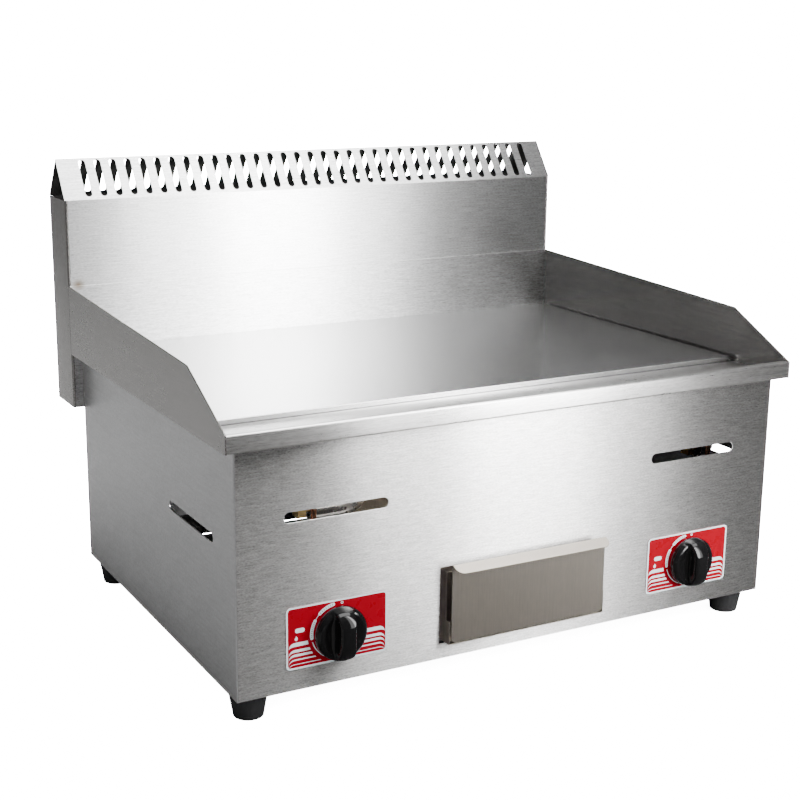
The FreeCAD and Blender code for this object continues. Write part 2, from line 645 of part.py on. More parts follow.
def knob(side):
    """Round skirt with a dished face and a domed full-width grip bar between two finger
    scoops."""
    x = side * KNOB_X
    r = KNOB_RADIUS
    front = -KNOB_REACH
    base = KNOB_BASE_Y
    dish = base - 7.0
    wall = base - 4.4
    skirt = revolved([(0, base), (r - 0.6, base), (r, base - 1), (r, base - 4.5),
                      (r - 1, base - 6.8), (r - 3, base - 8.6), (r - 5, base - 9.3),
                      (r - 6.4, base - 9.2), (r - 9, base - 8.2), (r - 12.5, dish), (0, dish)],
                     x, KNOB_Z)
    reach = revolved([(0, base - 3)] + dome(r - 0.3, base - 3, front, 2.4), x, KNOB_Z)
    flank = [(14.0, dish + 1), (11.2, -16.6), (9.8, -20.5), (9.4, -25.0), (8.7, -28.6),
             (6.6, front)]
    section = [Vector(x + u, y, KNOB_Z - r) for u, y in flank]
    section += [Vector(x - u, y, KNOB_Z - r) for u, y in flank[::-1]]
    bar = Part.Face(Part.makePolygon(section + section[:1])).extrude(Vector(0, 0, 2 * r))
    body = fused([skirt, bar.common(reach)])
    hub = 2 * SPINDLE_RADIUS + 1
    hollow = revolved([(hub, base + 1), (r - 2.4, base + 1), (r - 2.4, wall), (hub, wall)],
                      x, KNOB_Z)
    bore_end = SPINDLE_FRONT_Y - 0.5
    bore = along_y(SPINDLE_RADIUS + RUNNING, x, KNOB_Z, bore_end, base + 1)
    flat = block(x - hub, x + hub, bore_end - 1, FLAT_REAR_Y - 0.5,
                 KNOB_Z + SPINDLE_FLAT + 2 * RUNNING, KNOB_Z + hub)
    return body.cut(hollow).cut(bore.cut(flat))


def spindle(side):
    """Valve spindle with a flat for the knob and a collar under the valve's cap."""
    x = side * KNOB_X
    r = SPINDLE_RADIUS
    shaft = along_y(r, x, KNOB_Z, SPINDLE_FRONT_Y, PLUG_FRONT_Y + 5)
    flat = block(x - 2 * r, x + 2 * r, SPINDLE_FRONT_Y - 1, FLAT_REAR_Y, KNOB_Z + SPINDLE_FLAT,
                 KNOB_Z + 2 * r)
    collar_y = VALVE_FRONT_Y + LOOSE
    collar = along_y(COLLAR_RADIUS, x, KNOB_Z, collar_y, collar_y + COLLAR_WIDTH)
    return shaft.cut(flat).fuse(collar)


def spindle_spring(side):
    """Coil spring between the spindle's collar and the valve's plug. Its wire is straight
    runs joined by tangent arcs, eight to the turn."""
    wire_radius = 0.45
    coil_radius = 5.4
    turns = 5
    per_turn = 8
    gap = wire_radius + 0.1
    start = VALVE_FRONT_Y + LOOSE + COLLAR_WIDTH + gap
    step = (PLUG_FRONT_Y - gap - start) / (turns * per_turn)
    corner = coil_radius / math.cos(math.pi / per_turn)
    points = [
        Vector(side * KNOB_X + corner * math.cos(2 * math.pi * i / per_turn), start + i * step,
               KNOB_Z + corner * math.sin(2 * math.pi * i / per_turn))
        for i in range(turns * per_turn + 1)
    ]
    return swept_tube(points, [0.95 * coil_radius] * (len(points) - 2), wire_radius, 0)


def taper(x, clearance):
    """The conical seat, or with no clearance the plug that turns in it."""
    return Part.makeCone(PLUG_FRONT_RADIUS + clearance, PLUG_REAR_RADIUS + clearance,
                         PLUG_REAR_Y - PLUG_FRONT_Y, Vector(x, PLUG_FRONT_Y, KNOB_Z),
                         Vector(0, 1, 0))


def valve_plug(side):
    """Tapered plug with a gas port across it and a socket for the spindle's tail."""
    x = side * KNOB_X
    port = along_z(GAS_TUBE_RADIUS - RUNNING, x, PLUG_REAR_Y - 7, KNOB_Z - VALVE_RADIUS,
                   KNOB_Z + VALVE_RADIUS)
    socket = along_y(SPINDLE_RADIUS + RUNNING, x, KNOB_Z, PLUG_FRONT_Y - 1, PLUG_FRONT_Y + 9)
    return taper(x, 0).cut([port, socket])


def cap_screw_xs(side):
    """x of the two screws beside a valve's spindle."""
    return [side * KNOB_X + dx for dx in (-CAP_SCREW_X, CAP_SCREW_X)]


def ears(side, y0, y1):
    """The flat bar across a valve that its cap screws go through."""
    x = side * KNOB_X
    return block(x - EAR_HALF_WIDTH, x + EAR_HALF_WIDTH, y0, y1, KNOB_Z - EAR_HALF_HEIGHT,
                 KNOB_Z + EAR_HALF_HEIGHT)


def valve_body(side):
    """Brass tap body: spring chamber, taper seat, inlet boss and outlet boss on top."""
    x = side * KNOB_X
    inlet_radius, inlet_height = INLET_BOSS
    outlet_radius, outlet_height = OUTLET_BOSS
    body = fused([
        along_y(VALVE_RADIUS, x, KNOB_Z, VALVE_FRONT_Y, VALVE_REAR_Y),
        ears(side, VALVE_FRONT_Y, VALVE_FRONT_Y + EAR_THICKNESS),
        along_z(inlet_radius, x, MANIFOLD_Y, KNOB_Z, KNOB_Z + inlet_height),
        along_z(outlet_radius, x, GAS_TUBE_Y, KNOB_Z, KNOB_Z + outlet_height),
    ])
    cuts = [
        along_y(PLUG_FRONT_RADIUS + RUNNING, x, KNOB_Z, VALVE_FRONT_Y - 1, PLUG_FRONT_Y),
        taper(x, RUNNING),
        along_z(GAS_BORE_RADIUS, x, MANIFOLD_Y, KNOB_Z, KNOB_Z + inlet_height + 1),
        along_z(GAS_TUBE_RADIUS - GAS_TUBE_WALL, x, GAS_TUBE_Y, KNOB_Z,
                KNOB_Z + outlet_height + 1),
        along_y(GAS_BORE_RADIUS, x, KNOB_Z, PLUG_REAR_Y - 1, VALVE_REAR_Y - 3),
    ]
    cuts += [along_y(CAP_SCREW_RADIUS + RUNNING, screw_x, KNOB_Z, VALVE_FRONT_Y - 1,
                     VALVE_FRONT_Y + CAP_SCREW_DEPTH + 1) for screw_x in cap_screw_xs(side)]
    return body.cut(cuts)


def valve_cap(side):
    """Cap plate with the spindle's bearing hole, held by two screws."""
    x = side * KNOB_X
    front = VALVE_FRONT_Y - CAP_THICKNESS
    disc = along_y(VALVE_RADIUS, x, KNOB_Z, front, VALVE_FRONT_Y)
    cuts = [along_y(SPINDLE_RADIUS + RUNNING, x, KNOB_Z, front - 1, VALVE_FRONT_Y + 1)]
    cuts += [along_y(CAP_SCREW_RADIUS + LOOSE, screw_x, KNOB_Z, front - 1, VALVE_FRONT_Y + 1)
             for screw_x in cap_screw_xs(side)]
    return fused([ears(side, front, VALVE_FRONT_Y), disc]).cut(cuts)


def valve_cap_screws():
    """Two small screws for each valve cap."""
    screws = []
    under_head = VALVE_FRONT_Y - CAP_THICKNESS
    for side in SIDES.values():
        for x in cap_screw_xs(side):
            head = along_y(2 * CAP_SCREW_RADIUS, x, KNOB_Z, under_head - 2, under_head)
            shank = along_y(CAP_SCREW_RADIUS, x, KNOB_Z, under_head,
                            VALVE_FRONT_Y + CAP_SCREW_DEPTH)
            screws.append(head.fuse(shank))
    return Part.makeCompound(screws)


# ---- gas pipes and burners ----------------------------------------------------------
def square_bar(half_length, half_side):
    """A square bar on the manifold's centre line."""
    return block(-half_length, half_length, MANIFOLD_Y - half_side, MANIFOLD_Y + half_side,
                 MANIFOLD_Z - half_side, MANIFOLD_Z + half_side)


def manifold():
    """Square tube that feeds both valves, closed at its ends."""
    half = MANIFOLD_SIDE / 2
    outer = square_bar(MANIFOLD_HALF_LENGTH, half)
    inner = square_bar(MANIFOLD_HALF_LENGTH - MANIFOLD_WALL, half - MANIFOLD_WALL)
    cuts = [inner, along_y(FEED_BORE_RADIUS, INLET_X, MANIFOLD_Z, MANIFOLD_Y,
                           MANIFOLD_Y + half + 1)]
    cuts += [along_z(GAS_BORE_RADIUS, side * KNOB_X, MANIFOLD_Y, MANIFOLD_Z - half - 1,
                     MANIFOLD_Z) for side in SIDES.values()]
    return outer.cut(cuts)


def valve_nipples():
    """Short pipes from the manifold down to the valves."""
    pipes = []
    low = KNOB_Z + INLET_BOSS[1]
    high = MANIFOLD_Z - MANIFOLD_SIDE / 2
    for side in SIDES.values():
        x = side * KNOB_X
        bore = along_z(GAS_BORE_RADIUS, x, MANIFOLD_Y, low - 1, high + 1)
        pipes.append(along_z(NIPPLE_RADIUS, x, MANIFOLD_Y, low, high).cut(bore))
    return Part.makeCompound(pipes)


def manifold_brackets():
    """Two bent straps that carry the manifold from the base panel."""
    rest, upright, foot_end = BRACKET_X
    low = BASE_Z + STEEL
    high = MANIFOLD_Z - MANIFOLD_SIDE / 2 - THIN
    outline = [(foot_end, low), (upright, low), (upright, high), (rest, high)]
    strap = folded_sheet(outline, THIN, "y", MANIFOLD_Y - BRACKET_WIDTH / 2,
                         MANIFOLD_Y + BRACKET_WIDTH / 2)
    return Part.makeCompound([strap, mirrored_x(strap)])


def injector_place(name):
    """Where a burner's injector block is centred."""
    mouth_x, _, _ = BURNERS[name]
    return Vector(mouth_x - 10, BURNER_MOUTH_Y, BURNER_Z)


def injector(name):
    """Brass block with a jet that points into the burner's mouth."""
    p = injector_place(name)
    half = 7.0
    jet_start = 4.0
    jet_end = 11.0
    body = block(p.x - 6, p.x + jet_start, p.y - half, p.y + half, p.z - half, p.z + half + 1)
    jet = rod(half / 2, Vector(p.x + jet_start, p.y, p.z), Vector(p.x + jet_end, p.y, p.z))
    passage = rod(0.6, Vector(p.x - 1, p.y, p.z), Vector(p.x + jet_end + 1, p.y, p.z))
    inlet = along_z(GAS_TUBE_RADIUS - GAS_TUBE_WALL, p.x - 1, p.y, p.z, p.z + half + 2)
    return fused([body, jet]).cut([passage, inlet])


def gas_tube(name):
    """Copper tube from the valve's outlet up and over into the injector block."""
    side = SIDES[name]
    p = injector_place(name)
    over = (p.y - GAS_TUBE_Y) / 2
    start = Vector(side * KNOB_X, GAS_TUBE_Y, KNOB_Z + OUTLET_BOSS[1])
    end = Vector(p.x - 1, p.y, p.z + 8)
    top = end.z + 10 + over
    points = [
        start, Vector(start.x, start.y, start.z + 18), Vector(end.x, start.y, start.z + 45),
        Vector(end.x, start.y, top), Vector(end.x, end.y, top), end,
    ]
    radii = [GAS_TUBE_BEND, GAS_TUBE_BEND, over - 0.5, over - 0.5]
    return swept_tube(points, radii, GAS_TUBE_RADIUS, GAS_TUBE_RADIUS - GAS_TUBE_WALL)


def burner(name):
    """Bent tube: mixing mouth, elbow, fed leg, wide rear bend and return leg with gas
    slots along the top of both legs."""
    mouth_x, leg_x, elbow = BURNERS[name]
    return_x = leg_x - 2 * BURNER_BEND_RADIUS
    rear = BURNER_REAR_Y + BURNER_BEND_RADIUS
    z = BURNER_Z
    points = [
        Vector(mouth_x, BURNER_MOUTH_Y, z), Vector(leg_x, BURNER_MOUTH_Y, z),
        Vector(leg_x, rear, z), Vector(return_x, rear, z),
        Vector(return_x, BURNER_END_Y, z),
    ]
    bend = BURNER_BEND_RADIUS - 0.5
    radii = [elbow - 0.5, bend, bend]
    tube = swept_tube(points, radii, BURNER_RADIUS, BURNER_RADIUS - BURNER_WALL)
    end = along_y(BURNER_RADIUS, return_x, z, BURNER_END_Y - 2, BURNER_END_Y)
    gas_slot = obround(*GAS_SLOT_SIZE, 8 * THIN)
    cuts = [
        turned_to(gas_slot, Rotation(),
                  Vector(x, GAS_SLOT_FIRST_Y + GAS_SLOT_PITCH * i, z + BURNER_RADIUS))
        for x in (leg_x, return_x) for i in range(GAS_SLOT_COUNT)
    ]
    return fused([tube, end]).cut(cuts)


def burner_rail(y):
    """Angle across the cabinet that the burners lie on."""
    top = BURNER_Z - BURNER_RADIUS
    outline = [(y, top - RAIL_WIDTH), (y, top), (y + RAIL_WIDTH, top)]
    return folded_sheet(outline, STEEL, "x", -HALF_INNER, HALF_INNER)


def burner_straps():
    """Saddle straps that hold each burner leg on the rear rail."""
    straps = []
    top = BURNER_Z - BURNER_RADIUS
    outer = BURNER_RADIUS + LOOSE + THIN
    y0 = RAIL_YS["rear"] + (RAIL_WIDTH - STRAP_WIDTH) / 2
    y1 = y0 + STRAP_WIDTH
    for _, leg_x, _ in BURNERS.values():
        for x in (leg_x, leg_x - 2 * BURNER_BEND_RADIUS):
            arch = along_y(outer, x, BURNER_Z, y0, y1)
            arch = arch.fuse(block(x - outer, x + outer, y0, y1, top, BURNER_Z))
            feet = block(x - outer - STRAP_FOOT, x + outer + STRAP_FOOT, y0, y1, top,
                         top + THIN)
            hollow = along_y(outer - THIN, x, BURNER_Z, y0 - 1, y1 + 1)
            under = block(x - outer + THIN, x + outer - THIN, y0 - 1, y1 + 1, top - 1, BURNER_Z)
            clear = block(x - 2 * outer, x + 2 * outer, y0 - 1, y1 + 1, top - 2 * outer, top)
            straps.append(fused([arch, feet]).cut([hollow, under, clear]))
    return Part.makeCompound(straps)


def gas_feed_pipe():
    """Straight pipe from the inlet fitting forward to the manifold."""
    y0 = MANIFOLD_Y + MANIFOLD_SIDE / 2
    y1 = REAR_PANEL_Y - INLET_REACH
    return along_y(FEED_RADIUS, INLET_X, MANIFOLD_Z, y0, y1).cut(
        along_y(FEED_BORE_RADIUS, INLET_X, MANIFOLD_Z, y0 - 1, y1 + 1))


def gas_inlet_fitting():
    """Bulkhead union: collar inside, hexagon and male thread outside the rear panel."""
    inner_y = REAR_PANEL_Y - INLET_REACH
    face_y = REAR_PANEL_Y + STEEL
    nut_end = face_y + INLET_NUT_WIDTH
    thread_end = nut_end + INLET_THREAD_LENGTH
    neck = along_y(INLET_THREAD_RADIUS, INLET_X, MANIFOLD_Z, inner_y, face_y)
    nut = hexagon(27.0, INLET_X, MANIFOLD_Z, face_y, nut_end)
    thread = along_y(INLET_THREAD_RADIUS, INLET_X, MANIFOLD_Z, nut_end, thread_end)
    return fused([neck, nut, thread]).cut(
        along_y(FEED_BORE_RADIUS, INLET_X, MANIFOLD_Z, inner_y - 1, thread_end + 1))


def gas_inlet_locknut():
    """Nut that clamps the inlet fitting from inside the cabinet."""
    front = REAR_PANEL_Y - LOCKNUT_WIDTH
    bore = along_y(INLET_THREAD_RADIUS + RUNNING, INLET_X, MANIFOLD_Z, front - 1,
                   REAR_PANEL_Y + 1)
    return hexagon(30.0, INLET_X, MANIFOLD_Z, front, REAR_PANEL_Y).cut(bore)


# ---- feet ---------------------------------------------------------------------------
def foot_places():
    """x and y of each foot's axis."""
    return {
        "front_left": (-FOOT_X, FOOT_FRONT_Y),
        "front_right": (FOOT_X, FOOT_FRONT_Y),
        "rear_left": (-FOOT_X, FOOT_REAR_Y),
        "rear_right": (FOOT_X, FOOT_REAR_Y),
    }


def foot(x, y):
    """Tapered rubber foot with a bolt recess from below."""
    recess_radius, recess_depth = FOOT_RECESS
    cone = Part.makeCone(FOOT_BOTTOM_RADIUS, FOOT_TOP_RADIUS, FOOT_HEIGHT, Vector(x, y, 0))
    low_rim = [e for e in cone.Edges if e.CenterOfMass.z < 0.1 and len(e.Vertexes) == 1]
    cone = cone.makeFillet(1.2, low_rim[:1])
    return cone.cut([along_z(recess_radius, x, y, -1, recess_depth),
                     along_z(FOOT_BOLT_RADIUS + SEAM, x, y, recess_depth - 1, FOOT_HEIGHT + 1)])


def foot_bolts():
    """Bolts up through the feet and the base panel."""
    head_radius, head_height = FOOT_HEAD
    under_head = FOOT_RECESS[1]
    bolts = []
    for x, y in foot_places().values():
        head = along_z(head_radius, x, y, under_head - head_height, under_head)
        shank = along_z(FOOT_BOLT_RADIUS, x, y, under_head, BASE_Z + STEEL + FOOT_BOLT_END)
        bolts.append(head.fuse(shank))
    return Part.makeCompound(bolts)


def foot_nuts():
    """Nuts above the base panel."""
    width, height = FOOT_NUT
    nuts = []
    low = BASE_Z + STEEL
    for x, y in foot_places().values():
        flat = hexagon(width, x, 0, 0, height)
        nut = turned_to(flat, FACING_FRONT, Vector(0, y, low))
        bore = along_z(FOOT_BOLT_RADIUS + RUNNING, x, y, low - 1, low + height + 1)
        nuts.append(nut.cut(bore))
    return Part.makeCompound(nuts)


# ---- all the nodes ------------------------------------------------------------------
def write_cabinet():
    """Cabinet sheets and their screws."""
    put("front_panel", front_panel())
    put("right_side_panel", right_side_panel())
    put("left_side_panel", mirrored_x(right_side_panel()))
    put("rear_panel", rear_panel())
    put("base_panel", base_panel())
    screws = [pan_screw(x, z, CABINET_DEPTH) for x, z in rear_screw_places()]
    put("rear_panel_screws", Part.makeCompound(screws))


def write_top():
    """Tray, guards, plate and drain."""
    put("top_tray", top_tray())
    put("right_splash_guard", right_splash_guard())
    put("left_splash_guard", mirrored_x(right_splash_guard()))
    put("rear_splash_guard", rear_splash_guard())
    put("griddle_plate", griddle_plate())
    put("drain_spout", drain_spout())


def write_flue():
    """Flue sheets and the screws that hold the flue."""
    put("flue_front_sheet", flue_front_sheet())
    put("flue_rear_sheet", flue_rear_sheet())
    put("flue_right_end", flue_right_end())
    put("flue_left_end", mirrored_x(flue_right_end()))
    put("flue_base", flue_base())
    screws = [pan_screw(x, z, FLUE_FRONT_Y + THIN) for x, z in flue_screw_places()]
    put("flue_screws", Part.makeCompound(screws))


def write_drawer():
    """Drawer and its runners."""
    put("drawer_front", drawer_front())
    put("drawer_box", drawer_box())
    put("right_drawer_runner", right_drawer_runner())
    put("left_drawer_runner", mirrored_x(right_drawer_runner()))


def write_controls():
    """Knobs, dial plates and valves, left and right."""
    for name, side in SIDES.items():
        put(name + "_dial_plate", dial_plate(side))
        put(name + "_knob", knob(side))
        put(name + "_spindle", spindle(side))
        put(name + "_spindle_spring", spindle_spring(side))
        put(name + "_valve_plug", valve_plug(side))
        put(name + "_valve_body", valve_body(side))
        put(name + "_valve_cap", valve_cap(side))
    put("valve_cap_screws", valve_cap_screws())


def write_gas():
    """Gas train and burners."""
    put("gas_manifold", manifold())
    put("valve_nipples", valve_nipples())
    put("manifold_brackets", manifold_brackets())
    put("gas_feed_pipe", gas_feed_pipe())
    put("gas_inlet_fitting", gas_inlet_fitting())
    put("gas_inlet_locknut", gas_inlet_locknut())
    for name in BURNERS:
        put(name + "_gas_tube", gas_tube(name))
        put(name + "_injector", injector(name))
        put(name + "_burner", burner(name))
    for name, y in RAIL_YS.items():
        put("burner_" + name + "_rail", burner_rail(y))
    put("burner_straps", burner_straps())


def write_feet():
    """Feet with their bolts and nuts."""
    for name, (x, y) in foot_places().items():
        put(name + "_foot", foot(x, y))
    put("foot_bolts", foot_bolts())
    put("foot_nuts", foot_nuts())


os.makedirs("parts", exist_ok=True)
write_cabinet()
write_top()
write_flue()
write_drawer()
write_controls()
write_gas()
write_feet()
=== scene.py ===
import json
import math

import bmesh
import bpy
from mathutils import Matrix, Vector
from mathutils.geometry import tessellate_polygon

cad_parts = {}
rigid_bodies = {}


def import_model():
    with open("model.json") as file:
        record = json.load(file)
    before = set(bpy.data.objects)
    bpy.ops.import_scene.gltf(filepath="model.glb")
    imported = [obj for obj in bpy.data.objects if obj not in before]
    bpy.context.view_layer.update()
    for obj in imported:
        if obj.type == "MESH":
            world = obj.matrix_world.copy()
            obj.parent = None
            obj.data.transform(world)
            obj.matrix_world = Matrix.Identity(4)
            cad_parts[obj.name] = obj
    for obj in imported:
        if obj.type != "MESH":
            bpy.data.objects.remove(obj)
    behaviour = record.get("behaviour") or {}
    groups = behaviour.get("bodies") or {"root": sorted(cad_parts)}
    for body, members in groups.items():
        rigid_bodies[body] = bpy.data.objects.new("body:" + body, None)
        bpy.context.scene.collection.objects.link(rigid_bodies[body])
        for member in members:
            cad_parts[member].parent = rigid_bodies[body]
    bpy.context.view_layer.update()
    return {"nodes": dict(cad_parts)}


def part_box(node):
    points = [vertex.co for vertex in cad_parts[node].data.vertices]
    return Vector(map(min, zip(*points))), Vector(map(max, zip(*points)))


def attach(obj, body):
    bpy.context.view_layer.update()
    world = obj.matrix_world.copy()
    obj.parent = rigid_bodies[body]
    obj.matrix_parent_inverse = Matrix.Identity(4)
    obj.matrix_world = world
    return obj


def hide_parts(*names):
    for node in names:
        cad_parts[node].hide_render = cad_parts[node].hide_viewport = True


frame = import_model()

MM = 0.001
NODES = frame["nodes"]
SCENE = bpy.context.scene

# camera angles in radians: turn to the right, tilt from level (here down) and roll
YAW = 0.476158
PITCH = -0.240389
ROLL = 0.00229

# brightness of the white floor and background, as the camera sees them
PAPER = 34.0


# ---- stage: camera and lights -------------------------------------------------------
def add_camera():
    """A long lens at the front left, above the griddle."""
    camera = bpy.data.cameras.new("camera")
    camera.lens = 65.427
    camera.sensor_width = 36.0
    camera.shift_x = 0.0639
    camera.shift_y = -0.0151
    holder = bpy.data.objects.new("camera", camera)
    holder.location = (-0.88262, -1.54890, 0.70586)
    turn = Matrix.Rotation(-YAW, 3, "Z") @ Matrix.Rotation(math.pi / 2 + PITCH, 3, "X")
    holder.rotation_euler = (turn @ Matrix.Rotation(ROLL, 3, "Z")).to_euler()
    SCENE.collection.objects.link(holder)
    SCENE.camera = holder


def add_light(name, place, turn, size, power, mirrored=True):
    """A rectangular soft box. A light that isn't mirrored only reaches matt surfaces."""
    light = bpy.data.lights.new(name, "AREA")
    light.shape = "RECTANGLE"
    light.size, light.size_y = size
    light.energy = power
    holder = bpy.data.objects.new(name, light)
    holder.location = place
    holder.rotation_euler = [math.radians(angle) for angle in turn]
    holder.visible_glossy = mirrored
    SCENE.collection.objects.link(holder)


def add_lights():
    """Soft boxes that the steel mirrors, a weak lamp in the cabinet, and two soft boxes
    that only reach matt surfaces."""
    facing = (90, 0, -18.8)
    # a wide box at the front right, and a narrow one before its middle
    add_light("key", (0.53, -1.10, 0.85), facing, size=(0.86, 1.5), power=30)
    add_light("core", (0.52, -1.06, 0.85), facing, size=(0.34, 1.5), power=40)
    add_light("top", (0.45, -0.45, 2.0), (0, 0, 0), size=(1.5, 1.3), power=65)
    # behind the front panel's left viewing slot
    add_light("within", (-0.20, -0.255, 0.275), (76, 0, 0), size=(0.20, 0.02), power=2.0)
    add_light("back", (0.3, 2.4, 1.4), (-60, 0, 0), size=(2.0, 1.5), power=20,
              mirrored=False)
    add_light("fill", (-0.9, -2.2, 1.2), (75, 0, -20), size=(1.5, 1.5), power=55,
              mirrored=False)


# ---- node materials -----------------------------------------------------------------
class Shader:
    """A node material with a Principled surface, and short names for what it is built of."""

    def __init__(self, name):
        self.material = bpy.data.materials.new(name)
        self.material.use_nodes = True
        self.tree = self.material.node_tree
        self.tree.nodes.clear()
        self.surface = self.add("ShaderNodeBsdfPrincipled")
        self.output = self.add("ShaderNodeOutputMaterial")
        self.join(self.surface.outputs[0], self.output.inputs[0])

    def add(self, kind, **settings):
        node = self.tree.nodes.new(kind)
        for key, value in settings.items():
            setattr(node, key, value)
        return node

    def join(self, output, socket):
        self.tree.links.new(output, socket)

    def feed(self, socket, value):
        """Sets the socket to a number or colour, or joins it to another node's output."""
        if isinstance(value, float):
            socket.default_value = value
        elif isinstance(value, tuple):
            socket.default_value = (*value, 1.0) if len(socket.default_value) == 4 else value
        else:
            self.join(value, socket)

    def set(self, **values):
        for key, value in values.items():
            self.feed(self.surface.inputs[key.replace("_", " ")], value)

    def place(self, scale, offset=(0.0, 0.0, 0.0)):
        """Object coordinates in metres, moved and then stretched along each axis."""
        source = self.add("ShaderNodeTexCoord")
        moved = self.add("ShaderNodeVectorMath", operation="ADD")
        self.join(source.outputs["Object"], moved.inputs[0])
        moved.inputs[1].default_value = offset
        scaled = self.add("ShaderNodeVectorMath", operation="MULTIPLY")
        self.join(moved.outputs[0], scaled.inputs[0])
        scaled.inputs[1].default_value = scale
        return scaled.outputs[0]

    def noise(self, scale, detail=3.0, roughness=0.55):
        """Noise from 0 to 1 with its own scale along x, y and z, in cycles per metre."""
        node = self.add("ShaderNodeTexNoise")
        node.inputs["Scale"].default_value = 1.0
        node.inputs["Detail"].default_value = detail
        node.inputs["Roughness"].default_value = roughness
        self.join(self.place(scale), node.inputs["Vector"])
        return node.outputs[0]

    def near(self, centre, size):
        """1 at a point, falling smoothly to 0 on the ellipsoid of that size round it."""
        length = self.add("ShaderNodeVectorMath", operation="LENGTH")
        self.join(self.place(tuple(1 / s for s in size), tuple(-c for c in centre)),
                  length.inputs[0])
        node = self.add("ShaderNodeMapRange", interpolation_type="SMOOTHSTEP")
        self.join(length.outputs["Value"], node.inputs["Value"])
        node.inputs["To Min"].default_value = 1.0
        node.inputs["To Max"].default_value = 0.0
        return node.outputs[0]

    def ranged(self, value, low, high, at_low=0.0, at_high=1.0):
        """The value mapped from low..high to at_low..at_high, held at both ends."""
        node = self.add("ShaderNodeMapRange")
        for key, number in (("From Min", low), ("From Max", high), ("To Min", at_low),
                            ("To Max", at_high)):
            node.inputs[key].default_value = number
        self.join(value, node.inputs["Value"])
        return node.outputs[0]

    def maths(self, operation, a, b):
        node = self.add("ShaderNodeMath", operation=operation)
        self.feed(node.inputs[0], a)
        self.feed(node.inputs[1], b)
        return node.outputs[0]

    def blend(self, factor, first, second):
        """Mix of two colours or colour outputs."""
        node = self.add("ShaderNodeMix", data_type="RGBA")
        self.feed(node.inputs[0], factor)
        self.feed(node.inputs[6], first)
        self.feed(node.inputs[7], second)
        return node.outputs[2]

    def bump(self, height, distance, under=None):
        """Raises the surface by a height from 0 to 1 times a distance, over another bump."""
        node = self.add("ShaderNodeBump")
        node.inputs["Distance"].default_value = distance
        self.join(height, node.inputs["Height"])
        if under is not None:
            self.join(under, node.inputs["Normal"])
        self.join(node.outputs[0], self.surface.inputs["Normal"])
        return node.outputs[0]

    def across(self, grain):
        """Sets the tangent to the direction in the surface that crosses the brush marks."""
        # slightly off the axis, so that it never lies along a face's normal
        direction = [1.0 if letter == grain else 0.02 for letter in "xyz"]
        shape = self.add("ShaderNodeNewGeometry")
        node = self.add("ShaderNodeVectorMath", operation="CROSS_PRODUCT")
        self.join(shape.outputs["True Normal"], node.inputs[0])
        node.inputs[1].default_value = direction
        self.join(node.outputs[0], self.surface.inputs["Tangent"])


# ---- floor and room -----------------------------------------------------------------
def floor_seen(shader):
    """White floor for the camera, with a soft shade where the griddle stands."""
    reach = 0.10
    open_part = 0.6
    darkest = 8.0
    speckle = shader.noise((40.0, 40.0, 40.0))
    shade = shader.add("ShaderNodeAmbientOcclusion", samples=8)
    shade.inputs["Distance"].default_value = reach
    level = shader.ranged(shade.outputs["AO"], 0.0, open_part, darkest, PAPER)
    glow = shader.add("ShaderNodeEmission")
    shader.join(shader.maths("ADD", level, speckle), glow.inputs["Strength"])
    return glow.outputs[0]


def floor_mirrored(shader):
    """The floor for all but the camera: dark in front, with painted light to the left and
    behind, for the steel to mirror.
    """
    dark = 0.05
    left_painted_light = 0.36
    rear_painted_light = 0.5
    split = shader.add("ShaderNodeSeparateXYZ")
    shader.join(shader.place((1.0, 1.0, 1.0)), split.inputs[0])
    left = shader.ranged(split.outputs["X"], -0.40, -0.34, left_painted_light, dark)
    # the left part grows paler towards the rear
    growth = shader.ranged(split.outputs["Y"], -0.3, 1.3, 0.7, 1.5)
    rear = shader.ranged(split.outputs["Y"], 0.35, 0.7, dark, rear_painted_light)
    tone = shader.maths("MAXIMUM", shader.maths("MULTIPLY", left, growth), rear)
    paint = shader.add("ShaderNodeBsdfDiffuse")
    shader.join(tone, paint.inputs["Color"])
    return paint.outputs[0]


def add_floor():
    """Plain floor, white to the camera and mostly dark in the steel's reflections."""
    shader = Shader("stage_floor")
    path = shader.add("ShaderNodeLightPath")
    mix = shader.add("ShaderNodeMixShader")
    shader.join(path.outputs["Is Camera Ray"], mix.inputs[0])
    shader.join(floor_mirrored(shader), mix.inputs[1])
    shader.join(floor_seen(shader), mix.inputs[2])
    shader.join(mix.outputs[0], shader.output.inputs[0])
    shader.tree.nodes.remove(shader.surface)
    half = 12.0
    mesh = bpy.data.meshes.new("floor")
    corners = [(-half, -half, 0), (half, -half, 0), (half, half, 0), (-half, half, 0)]
    mesh.from_pydata(corners, [], [(0, 1, 2, 3)])
    floor = bpy.data.objects.new("floor", mesh)
    floor.data.materials.append(shader.material)
    SCENE.collection.objects.link(floor)


